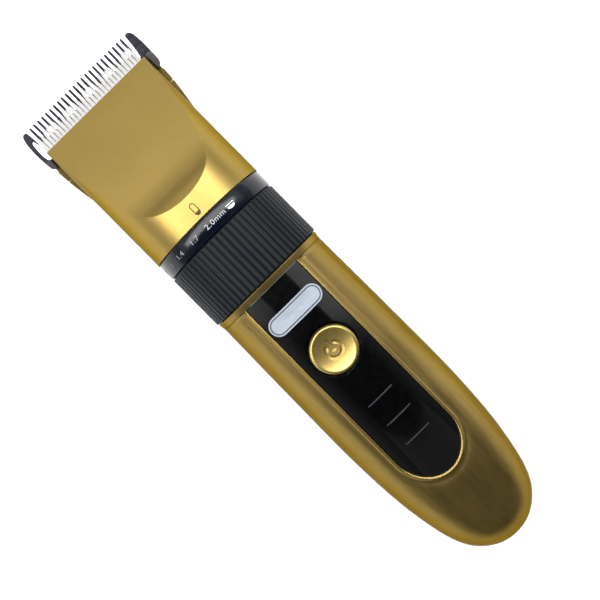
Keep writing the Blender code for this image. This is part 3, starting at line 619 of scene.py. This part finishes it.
def make_button():
    """The dished gold cap, with a fine knurl round its shoulder."""
    bm = bmesh.new()
    radii = [0.001] + [DISH_RADIUS * i / 64 for i in range(1, 65)]
    radii += [5.82, 5.95, 6.1, 6.22, 6.35, 6.5, BUTTON_RADIUS]
    steps = 192
    rows = []
    for radius in radii:
        row = []
        for i in range(steps):
            angle = 2 * math.pi * i / steps
            knurl = 0.10 * ease(radius, 5.9, 6.25) * math.cos(angle * 64)
            reach = radius + 0.4 * knurl
            height = BUTTON_RIM - 0.05 + button_height(radius, angle) + 0.3 * knurl
            row.append(at(CENTRE_X + reach * math.sin(angle), BUTTON_STATION + reach * math.cos(angle),
                          min(height, BUTTON_RIM)))
        rows.append(row)
    for level in (BUTTON_RIM - 1.4, BUTTON_RIM - 3.5):
        rows.append([at(CENTRE_X + BUTTON_RADIUS * math.sin(2 * math.pi * i / steps),
                        BUTTON_STATION + BUTTON_RADIUS * math.cos(2 * math.pi * i / steps), level)
                     for i in range(steps)])
    rows.append([at(CENTRE_X, BUTTON_STATION, BUTTON_RIM - 3.5)] * steps)
    grid(bm, rows, close_rows=True)
    weld(bm)
    # The cap takes the pale gold, painted highlight.
    mesh_object("button_cap", bm, gold_paler_painted_highlight, "button", "power_button", smooth_angle=50.0)


def make_bezel():
    """A fine bead along the edge of the panel's opening, in a paler gold that paints in its bright line of
    highlight.
    """
    curve = bpy.data.curves.new("bezel", "CURVE")
    curve.dimensions = "3D"
    curve.bevel_depth = BEAD_RADIUS * MM
    curve.bevel_resolution = 3
    curve.use_fill_caps = True
    left = [place[:2] for place in opening_path()]
    edge = left + [(-x, station) for x, station in left[-2::-1]]
    spline = curve.splines.new("POLY")
    spline.points.add(len(edge) - 1)
    for point, (x, station) in zip(spline.points, edge):
        angle = math.asin((x + CENTRE_X) / handle_radius(station))
        point.co = (*handle_point(station, angle, -0.06), 1.0)
    mesh_object("panel_bezel", curve_mesh(curve), gold_paler_painted_highlight, "casing")


make_panel()
make_bezel()
make_badge()
make_button()


# ---------------------------------------------------------------- collar, ring and scale band

BAND_RADIUS = 19.05
PRINT_STATION = 119.6
PRINT_LIFT = 0.02


def make_collar():
    """A flush cone between the handle and the ring, with rounded edges."""
    profile = [(16.4, 97.15), (18.4, 97.15), (18.46, 97.2), (18.5, 97.4), (18.66, 98.3), (18.78, 98.8),
               (18.78, 98.95), (18.7, 99.03), (16.4, 99.03)]
    turned("collar_ring", profile, gold, "casing", "collar")


def make_ring():
    """Wide soft lands with rounded grooves between them, and softened ends."""
    bm = bmesh.new()
    low = RING_LOW
    high = low + (ring_high.y - ring_low.y) / MM
    ribs, detail = RIB_COUNT, 12
    outer = (ring_high.x - ring_low.x) / 2 / MM - 0.03
    levels = [(low, 17.0, 0.0), (low, 18.3, 0.0), (low + 0.12, 18.65, 0.4), (low + 0.4, outer, 1.0),
              (high - 0.35, outer, 1.0), (high - 0.1, 18.8, 0.7), (high, 18.5, 0.0), (high, 17.0, 0.0)]
    rows = []
    for station, radius, groove in levels:
        row = []
        for rib in range(ribs):
            for i in range(detail):
                share = i / detail
                angle = 2 * math.pi * (rib + share) / ribs
                across = abs(share - 0.5) * 2.0
                depth = 0.62 * groove * (1.0 - ease(1.0 - across, 0.10, 0.42))
                crown = 0.06 * groove * (1.0 - ease(abs(across), 0.0, 0.8))
                reach = radius - depth - 0.06 * groove + crown
                row.append(at(reach * math.sin(angle), station, reach * math.cos(angle)))
        rows.append(row)
    grid(bm, rows, close_rows=True, close_columns=True)
    weld(bm)
    mesh_object("ribbed_ring", bm, ring_black, "ring", "length_ring", smooth_angle=28.0)


def make_band():
    """The gloss band and the cutting lengths printed on it, which turn with the ring."""
    profile = [(17.7, 117.1), (18.75, 117.1), (18.95, 117.2), (BAND_RADIUS, 117.4), (BAND_RADIUS, 122.0),
               (18.97, 122.15), (18.8, 122.2), (17.7, 122.2)]
    turned("scale_band_gloss", profile, band_black, "ring", "scale_band")
    # Digits further round the band take darker copies of the grey ink, as painted shade.
    for text, angle, ink in (("0.8", -78.0, print_grey_painted_deep_shade), ("1.1", -58.0, print_grey_painted_deep_shade),
                             ("1.4", -39.0, print_grey_painted_shade), ("1.7", -19.6, print_grey_painted_shade),
                             ("2.0mm", 4.4, print_grey)):
        wrapped_text(text, angle, ink)
    bowl = arc((0.0, 0.0), 1.3, 180.0, 360.0, 20)
    lid = [(-1.45, 0.42), (1.45, 0.42), (1.45, 0.62), (-1.45, 0.62)]
    wrapped_outline("scale_bowl", [(x, y * 0.62) for x, y in bowl], 21.6, print_white)
    wrapped_outline("scale_lid", lid, 21.6, print_white)


def wrap(x, y, lift, angle):
    """Where a place on a flat print lands on the band; the angle is the print's middle, in degrees."""
    turn = math.radians(angle) + x / BAND_RADIUS
    reach = BAND_RADIUS + lift
    return at(reach * math.sin(turn), PRINT_STATION + y, reach * math.cos(turn))


def wrapped_outline(name, outline, angle, ink):
    """A flat printed shape wrapped onto the band."""
    bm = bmesh.new()
    prism(bm, [(x, y, 1.0) for x, y in outline], [(x, y, -1.0) for x, y in outline])
    wrap_print(bm, 1.0, angle)
    mesh_object(name, bm, ink, "ring")


def wrap_print(bm, stretch, angle):
    """Bend a flat shape with a front and a back onto the band, in narrow strips."""
    half_width = max(abs(vertex.co.x) for vertex in bm.verts)
    slice_across(bm, half_width)
    for vertex in bm.verts:
        lift = PRINT_LIFT if vertex.co.z > 0.0 else -0.05
        vertex.co = wrap(vertex.co.x * stretch, vertex.co.y, lift, angle)


def slice_across(bm, half_width):
    """Cut a flat shape into narrow strips, so that it bends smoothly when wrapped."""
    strip = 0.25
    steps = math.ceil(half_width / strip)
    for step in range(1 - steps, steps):
        everything = bm.verts[:] + bm.edges[:] + bm.faces[:]
        bmesh.ops.bisect_plane(bm, geom=everything, plane_co=(step * strip, 0.0, 0.0),
                               plane_no=(1.0, 0.0, 0.0))


def wrapped_text(text, angle, ink):
    """Printed digits wrapped onto the band."""
    curve = bpy.data.curves.new("digits", "FONT")
    curve.body = text
    curve.size = 2.1
    curve.space_character = 1.08
    curve.align_x = "CENTER"
    curve.align_y = "CENTER"
    curve.extrude = 0.5
    curve.resolution_u = 4
    bm = curve_mesh(curve)
    bmesh.ops.remove_doubles(bm, verts=bm.verts, dist=0.0001)
    wrap_print(bm, 1.15, angle)
    name = "scale_" + text.replace(".", "_")
    mesh_object(name, bm, ink, "ring")


make_collar()
make_ring()
make_band()


# ---------------------------------------------------------------- head

def blade_height(station, lift=0.0):
    """Height of the steel plate's face at a station, or of a plane that much off it."""
    slope = math.tan(BLADE_TILT)
    return BLADE_TIP_HEIGHT - (BLADE_TIP_STATION - station) * slope + lift / math.cos(BLADE_TILT)


def facet_height(station):
    """Height of the head's facet: a straight slope, then a scoop and a steeper foot towards the band."""
    scoop = SCOOP_CURVATURE * max(SCOOP_START - station, 0.0) ** 2
    foot = FOOT_CURVATURE * max(FOOT_START - station, 0.0) ** 2
    return LIP_HEIGHT + FACET_SLOPE * (HEAD_END - station) + scoop + foot


# The station where the facet's line comes out through the round skin
FACET_FOOT = next(HEAD_START + i * 0.01 for i in range(2000)
                  if facet_height(HEAD_START + i * 0.01) < HEAD_RADIUS)


def front_row(station, inset):
    """Points over the front of the head from seam to seam, along the round side and over the facet."""
    arc_steps, facet_steps = 22, 26
    radius = HEAD_RADIUS - inset
    seam = blade_height(station, 0.32)
    flat = facet_height(station) - inset
    knuckle = math.acos(flat / radius) if flat < radius else 0.0
    knuckle = max(knuckle, math.radians(5.0))
    start = math.asin(seam / radius)
    end = math.pi / 2 - knuckle
    side = [start + (end - start) * i / arc_steps for i in range(arc_steps + 1)]
    right = [(radius * math.cos(angle), radius * math.sin(angle)) for angle in side]
    edge = radius * math.sin(knuckle)
    middle = []
    for i in range(1, facet_steps):
        x = edge - 2 * edge * i / facet_steps
        middle.append((x, min(flat, math.sqrt(radius * radius - x * x))))
    points = right + middle + [(-x, z) for x, z in reversed(right)]
    return [at(x, station, z) for x, z in points]


def make_head_front():
    """The head's front shell, with the facet that slopes down to the blades."""
    bm = bmesh.new()
    stations = [HEAD_START + (FACET_FOOT - 0.1 - HEAD_START) * i / 8 for i in range(9)]
    stations += [FACET_FOOT + (SCOOP_START - FACET_FOOT) * (i / 30) ** 1.6 for i in range(31)]
    stations += [SCOOP_START + (HEAD_END - SCOOP_START) * i / 36 for i in range(1, 37)]
    outer = [front_row(station, 0.0) for station in stations]
    inner = [front_row(station, SHELL_WALL) for station in stations]
    rows = [near + far[::-1] for near, far in zip(outer, inner)]
    close_ends(bm, grid(bm, rows, close_rows=True))
    # The paler head gold paints highlight over the whole front shell.
    piece = mesh_object("head_front", bm, gold_head_paler_painted_highlight, "casing", "head_front_shell")
    round_edges(piece, 0.28, 32.0, 3)


def make_index_mark():
    """A small capsule outline along the head, its lower quarter filled, both dark: painted shade on the walls
    of a small recess and painted shadow in its deeper lower end.
    """
    outer = [(CENTRE_X - 0.05 + b, INDEX_STATION + a) for a, b in pill((0.0, 0.0), 3.74, 1.73, 16)]
    inner = [(CENTRE_X - 0.05 + b, INDEX_STATION + a) for a, b in pill((0.0, 0.0), 3.2, 1.19, 16)]
    bm = bmesh.new()

    def lifted(places, lift):
        return [at(x, s, math.sqrt((HEAD_RADIUS + lift) ** 2 - x * x)) for x, s in places]
    grid(bm, [lifted(outer, -0.2), lifted(outer, 0.02), lifted(inner, 0.02), lifted(inner, -0.2)],
         close_rows=True, close_columns=True)
    mesh_object("index_mark", bm, index_painted_shade, "casing")
    # Painted shadow in the recess's deeper lower end.
    fill = [(x, min(s, INDEX_STATION - 0.8)) for x, s in inner]
    skin_piece("index_mark_painted_shadow", fill, -0.2, 0.018, index_painted_shade, "casing",
               radius=HEAD_RADIUS)


def rear_row(station, inset, top):
    """Points (x, height) round the back of the head, from seam to seam below the given height."""
    steps = 56
    half_width = HEAD_RADIUS + HEAD_FLARE * ease(station, 140.0, 162.0) - inset
    depth = rear_depth(station) - inset
    power = 2.0 + 3.0 * ease(station, 130.0, 156.0)
    start = math.asin(min(abs(top) / depth, 1.0) ** (power / 2))
    points = []
    for i in range(steps + 1):
        angle = start + (math.pi - 2 * start) * i / steps
        across = abs(math.cos(angle)) ** (2 / power)
        down = math.sin(angle) ** (2 / power)
        points.append((math.copysign(half_width * across, math.cos(angle)), -depth * down))
    return points


def make_head_rear():
    """The head's rear shell, and the two ears that hold the blade's hinge pin."""
    bm = bmesh.new()
    stations = [HEAD_START + (SEAM_STATION - HEAD_START) * i / 60 for i in range(61)]
    rows = []
    for station in stations:
        top = blade_height(station)
        outer = [at(x, station, z) for x, z in rear_row(station, 0.0, top)]
        inner = [at(x, station, z) for x, z in rear_row(station, REAR_WALL, top)]
        rows.append(outer + inner[::-1])
    close_ends(bm, grid(bm, rows, close_rows=True))
    piece = mesh_object("head_rear", bm, gold_dark, "casing", "head_rear_shell")
    round_edges(piece, 0.3, 40.0, 3)
    for side in (-1.0, 1.0):
        ear = bmesh.new()
        outline = [(151.2, -12.3), (151.2, -8.3), (157.4, -7.4)] + arc((158.0, -8.6), 1.15, 100.0, -80.0, 10)
        prism(ear, *[[at(side * x, s, z) for s, z in outline] for x in EAR_SIDES])
        mesh_object("pin_ear_" + ("left" if side < 0 else "right"), ear, gold_dark, "casing")


def make_carrier():
    """The gold wedge under the steel blade, with its rear edge rounded and seats cut for the hinge ears."""
    bm = bmesh.new()
    stations = [158.0 + i * 0.3 for i in range(33)] + [167.9, 168.0]
    rows = []
    for station in stations:
        narrow = 0.05 + 2.55 * ease(station, 163.7, 164.5)
        # The top steps down well under the steel plate towards its teeth
        lift = -1.35 if station > 162.35 else -0.05
        top = blade_height(station, lift)
        places = rear_row(station, narrow, top)
        rows.append([at(x, station, z) for x, z in places])
    rings = grid(bm, rows, close_rows=True)
    bm.faces.new(rings[0])
    bm.faces.new(rings[-1][::-1])
    piece = mesh_object("blade_wedge", bm, gold_dark, "blade_head", "blade_carrier")
    seat = block((37.7, 34.0, 6.0), at_blade(0.0, -13.0, 1.7), BLADE_TILT)
    subtract(piece, "plate_seat", seat)
    face = bmesh.new()
    outline = [(150.0, -20.0), (160.0, -14.0), (158.45, -4.0), (158.45, 8.0), (150.0, 8.0)]
    prism(face, *[[at(x, s, z) for s, z in outline] for x in (-30.0, 30.0)])
    subtract(piece, "tilt_clearance", face)
    for side in (-1.0, 1.0):
        subtract(piece, "ear_room", block((2.7, 10.4, 7.2), at(side * 13.5, 155.05, -9.5)))
    round_edges(piece, 0.2, 45.0, 2)


make_head_front()
make_index_mark()
make_head_rear()
make_carrier()


# ---------------------------------------------------------------- blades

def plate_piece(name, outline, low, high, material, body, node, shape=None):
    """A flat outline on the blade's plane with a thickness; shape may move its points."""
    curve = bpy.data.curves.new(name, "CURVE")
    curve.dimensions = "2D"
    curve.fill_mode = "BOTH"
    curve.extrude = (high - low) / 2
    spline = curve.splines.new("POLY")
    spline.points.add(len(outline) - 1)
    for point, (a, b) in zip(spline.points, outline):
        point.co = (a, b, 0.0, 1.0)
    spline.use_cyclic_u = True
    bm = curve_mesh(curve)
    bmesh.ops.remove_doubles(bm, verts=bm.verts, dist=0.001)
    for vertex in bm.verts:
        x, u, w = vertex.co.x, vertex.co.y, vertex.co.z + (low + high) / 2
        if shape:
            x, u, w = shape(x, u, w)
        vertex.co = at_blade(x, u, w)
    return mesh_object(name, bm, material, body, node, smooth_angle=25.0)


FIXED_TEETH = 24
FIXED_PITCH = 1.549
FIXED_ROOT = -7.6


def make_fixed_blade():
    """The steel plate, as one outline: right horn, teeth, the slot beside the left horn, left horn."""
    right = [(18.45, -18.25), (18.45, -13.65), (19.8, -13.3), (20.7, -13.0), (21.3, -12.6), (21.7, -12.0),
             (21.9, -11.2), (21.95, -9.5), (21.95, -5.2), (21.8, -3.0), (21.65, -2.0), (21.4, -1.2),
             (21.15, -0.65), (20.8, -0.3), (20.3, -0.12), (19.85, -0.14), (19.55, -0.3), (19.35, -0.75),
             (19.25, -2.5), (18.95, -5.4), (18.6, FIXED_ROOT + 0.2)]
    teeth = []
    first = (FIXED_TEETH - 1) / 2 * FIXED_PITCH
    for tooth in range(FIXED_TEETH):
        x = first - tooth * FIXED_PITCH
        side = [(0.41, FIXED_ROOT), (0.40, -4.0), (0.385, -1.0), (0.33, -0.2), (0.2, -0.03)]
        teeth += [(x + a, u) for a, u in side] + [(x - a, u) for a, u in side[::-1]]
    slot = [(-18.5, -7.8), (-18.5, -9.6), (-18.65, -9.95), (-18.95, -10.15), (-20.05, -10.15), (-20.4, -9.9),
            (-20.65, -9.4), (-20.8, -7.8), (-20.65, -5.2), (-20.45, -3.9), (-20.2, -3.5), (-19.9, -3.4),
            (-19.7, -3.7), (-19.2, -5.4), (-19.05, -5.4)]
    left = [(-19.2, -2.5), (-19.3, -0.8), (-19.45, -0.4), (-19.75, -0.16), (-20.3, -0.12), (-20.75, -0.35),
            (-21.05, -0.75), (-21.3, -1.35), (-21.7, -3.0), (-21.95, -5.5), (-21.95, -8.0), (-21.85, -10.5),
            (-21.65, -11.6), (-21.35, -12.3), (-20.8, -12.9), (-19.8, -13.25), (-18.45, -13.65),
            (-18.45, -18.25)]

    def ground(x, u, w):
        """Tooth tips ground thinner from behind."""
        if w < -0.5 and abs(x) < 18.4:
            w += 0.5 * ease(u, -4.0, 0.0)
        return x, u, w
    piece = plate_piece("steel_plate", right + teeth + slot + left, -1.0, 0.0, steel_dark, "blade_head",
                        "fixed_blade", ground)
    round_edges(piece, 0.06, 30.0, 2)


CUTTER_X = -0.4
CUTTER_TEETH = 29
CUTTER_PITCH = 1.28


def make_cutter():
    """The white cutter: pointed teeth with ramps cut between them."""
    edge = [(13.95, -14.15), (13.95, -8.8), (14.95, -8.35), (18.4, -8.3), (18.6, -8.1), (18.6, -5.25)]
    outline = list(edge)
    first = (CUTTER_TEETH - 1) / 2 * CUTTER_PITCH
    for tooth in range(CUTTER_TEETH):
        x = first - tooth * CUTTER_PITCH
        outline += [(x + 0.44, -5.15), (x + 0.36, -4.3), (x + 0.2, -3.45), (x + 0.1, -3.27),
                    (x - 0.1, -3.27), (x - 0.2, -3.45), (x - 0.36, -4.3), (x - 0.44, -5.15)]
    outline += [(-x, u) for x, u in edge[::-1]]

    def sharpen(x, u, w):
        """Teeth that slope down to their tips, and the whole cutter moved to its place at rest."""
        if w > 1.0:
            w -= 1.05 * ease(u, -6.4, -3.2)
        return x + CUTTER_X, u, w
    piece = plate_piece("ceramic_blade", outline, 0.27, 1.83, ceramic, "cutter", "ceramic_cutter",
                        sharpen)
    grooves = bmesh.new()
    for tooth in range(CUTTER_TEETH - 1):
        x = first - (tooth + 0.5) * CUTTER_PITCH + CUTTER_X
        prism(grooves,
              [at_blade(x + a, u, w) for a, u, w in
               ((-0.22, -8.0, 2.3), (0.22, -8.0, 2.3), (0.30, -4.6, 2.3), (-0.30, -4.6, 2.3))],
              [at_blade(x + a, u, w) for a, u, w in
               ((-0.08, -7.8, 1.5), (0.08, -7.8, 1.5), (0.14, -4.6, 0.5), (-0.14, -4.6, 0.5))])
    subtract(piece, "tooth_ramps", grooves)
    round_edges(piece, 0.05, 30.0, 2)


def make_cheeks():
    """Moulded end blocks on the blade, beside the head's front edge."""
    for label, side, front in (("left", -1.0, -10.2), ("right", 1.0, -7.9)):
        outer = [(21.65, front - 0.4), (21.4, front - 0.05), (19.85, front - 0.05), (19.85, -13.0),
                 (20.6, -13.0), (21.5, -12.2)]
        outline = [(side * x, u) for x, u in outer]
        piece = plate_piece("cheek_" + label, outline, 0.32, 1.95, brown, "blade_head",
                            "blade_cheek_" + label)
        round_edges(piece, 0.25, 30.0, 2)


make_fixed_blade()
make_cutter()
make_cheeks()


# ---------------------------------------------------------------- charging socket

def make_jack():
    """The charging socket's body, open towards the handle's closed end."""
    profile = [(0.0, 12.0), (3.55, 12.0), (3.55, 3.3), (2.5, 3.3), (2.58, 1.1), (2.4, 0.92), (1.85, 0.92),
               (1.75, 1.02), (1.75, 10.4), (0.0, 10.4)]
    turned("jack_body", [(max(r, 0.001), s) for r, s in profile], moulded, "casing", "charging_jack",
           steps=48)


make_jack()

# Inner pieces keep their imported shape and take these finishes
INNER = {
    nickel: ("blade_screw_left", "blade_screw_right", "cutter_spring", "cutter_guide", "hinge_pin",
             "case_screw_lower", "case_screw_left", "case_screw_right", "motor_can", "motor_shaft",
             "drive_pin", "detent_leaf", "battery_tab_negative", "battery_tab_positive"),
    acetal: ("cutter_follower", "adjust_slider", "ring_cam"),
    moulded: ("neck_tube", "motor_bracket", "motor_end_cap", "eccentric_cam", "battery_cradle",
              "tactile_switch", "button_stem"),
    brass: ("jack_pin",),
    board: ("circuit_board",),
    amber: ("charge_led",),
    sleeve: ("battery_cell",),
    red_vinyl: ("battery_wire_red", "motor_wire_red"),
    black_vinyl: ("battery_wire_black", "motor_wire_black"),
}
for finish, names in INNER.items():
    for name in names:
        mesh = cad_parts[name].data
        mesh.materials.clear()
        mesh.materials.append(finish)


# ---------------------------------------------------------------- floor, light and camera

def make_floor():
    """A plain pale floor, a hair under the trimmer's rest pad."""
    bm = bmesh.new()
    bmesh.ops.create_grid(bm, x_segments=1, y_segments=1, size=4.0)
    mesh = bpy.data.meshes.new("floor")
    bm.to_mesh(mesh)
    bm.free()
    floor = bpy.data.objects.new("floor", mesh)
    floor.location.z = -0.0002
    bpy.context.scene.collection.objects.link(floor)
    mesh.materials.append(surface("floor_pale", (0.89, 0.89, 0.89), (0.91, 0.91, 0.91), (0.8, 0.9), patch=6.0,
                                  grain=300.0, bump=0.0, specular=0.1))


def area_light(name, aim, elevation, azimuth, distance, size, power):
    """A soft box that faces the aim point; azimuth 0 is on the blade side, 90 on the +X side."""
    lamp = bpy.data.lights.new(name, "AREA")
    lamp.shape = "RECTANGLE"
    lamp.size, lamp.size_y = size
    lamp.energy = power
    made = bpy.data.objects.new(name, lamp)
    rise, turn = math.radians(elevation), math.radians(azimuth)
    direction = Vector((math.sin(turn) * math.cos(rise), math.cos(turn) * math.cos(rise), math.sin(rise)))
    made.location = aim + direction * distance
    made.rotation_euler = direction.to_track_quat("Z", "Y").to_euler()
    bpy.context.scene.collection.objects.link(made)


def make_world():
    """A studio that is dark overhead and behind the handle, and pale low down towards the blade."""
    world = bpy.data.worlds.new("studio")
    bpy.context.scene.world = world
    world.use_nodes = True
    nodes, links = world.node_tree.nodes, world.node_tree.links
    background = nodes["Background"]
    background.inputs["Color"].default_value = (0.95, 0.97, 1.0, 1.0)
    place = nodes.new("ShaderNodeTexCoord")
    split = nodes.new("ShaderNodeSeparateXYZ")
    links.new(place.outputs["Generated"], split.inputs["Vector"])
    falls = []
    for axis, reach in (("Z", (0.05, 0.8, 0.9, 0.01)), ("Y", (-0.7, 0.1, 0.16, 1.0))):
        fall = nodes.new("ShaderNodeMapRange")
        for name, value in zip(("From Min", "From Max", "To Min", "To Max"), reach):
            fall.inputs[name].default_value = value
        links.new(split.outputs[axis], fall.inputs["Value"])
        falls.append(fall.outputs["Result"])
    product = nodes.new("ShaderNodeMath")
    product.operation = "MULTIPLY"
    links.new(falls[0], product.inputs[0])
    links.new(falls[1], product.inputs[1])
    links.new(product.outputs["Value"], background.inputs["Strength"])


CAMERA_DISTANCE = 260.0
FRAME_SPAN = 168.6
FILM = 36.0
BLADE_LEAN = math.radians(44.7)


def make_camera():
    """Looks straight down on the panel, with the blade towards the frame's upper left."""
    foot = at(3.8, 101.85, 0.0)
    aim = at(2.3, 88.16, 0.0)
    up = Vector((math.sin(BLADE_LEAN), math.cos(BLADE_LEAN), 0.0))
    right = Vector((up.y, -up.x, 0.0))
    data = bpy.data.cameras.new("camera")
    data.sensor_width = FILM
    data.lens = FILM * CAMERA_DISTANCE / FRAME_SPAN
    data.shift_x = (aim - foot).dot(right) / (FRAME_SPAN * MM)
    data.shift_y = (aim - foot).dot(up) / (FRAME_SPAN * MM)
    data.clip_start = 0.01
    data.clip_end = 20.0
    made = bpy.data.objects.new("camera", data)
    turn = Matrix((right, up, (0.0, 0.0, 1.0))).transposed().to_4x4()
    made.matrix_world = Matrix.Translation(foot + Vector((0.0, 0.0, CAMERA_DISTANCE * MM))) @ turn
    bpy.context.scene.collection.objects.link(made)
    bpy.context.scene.camera = made


make_floor()
middle = at(0.0, 95.0, 0.0)
area_light("head_box", middle, 70.5, 0.0, 0.7, (2.1, 0.26), 21.0)
area_light("facet_box", middle, 38.0, 0.0, 1.2, (1.3, 0.5), 2.35)
area_light("side_box_left", at(0.0, 720.0, 0.0), 39.0, -90.0, 1.1, (1.3, 0.84), 3.3)
area_light("side_box_right", at(0.0, 640.0, 0.0), 39.0, 90.0, 1.1, (1.3, 0.84), 4.8)
area_light("handle_box", at(0.0, 40.0, 0.0), 46.0, 180.0, 1.0, (1.9, 1.0), 1.4)
make_world()
make_camera()
bpy.context.scene.view_settings.view_transform = "Standard"
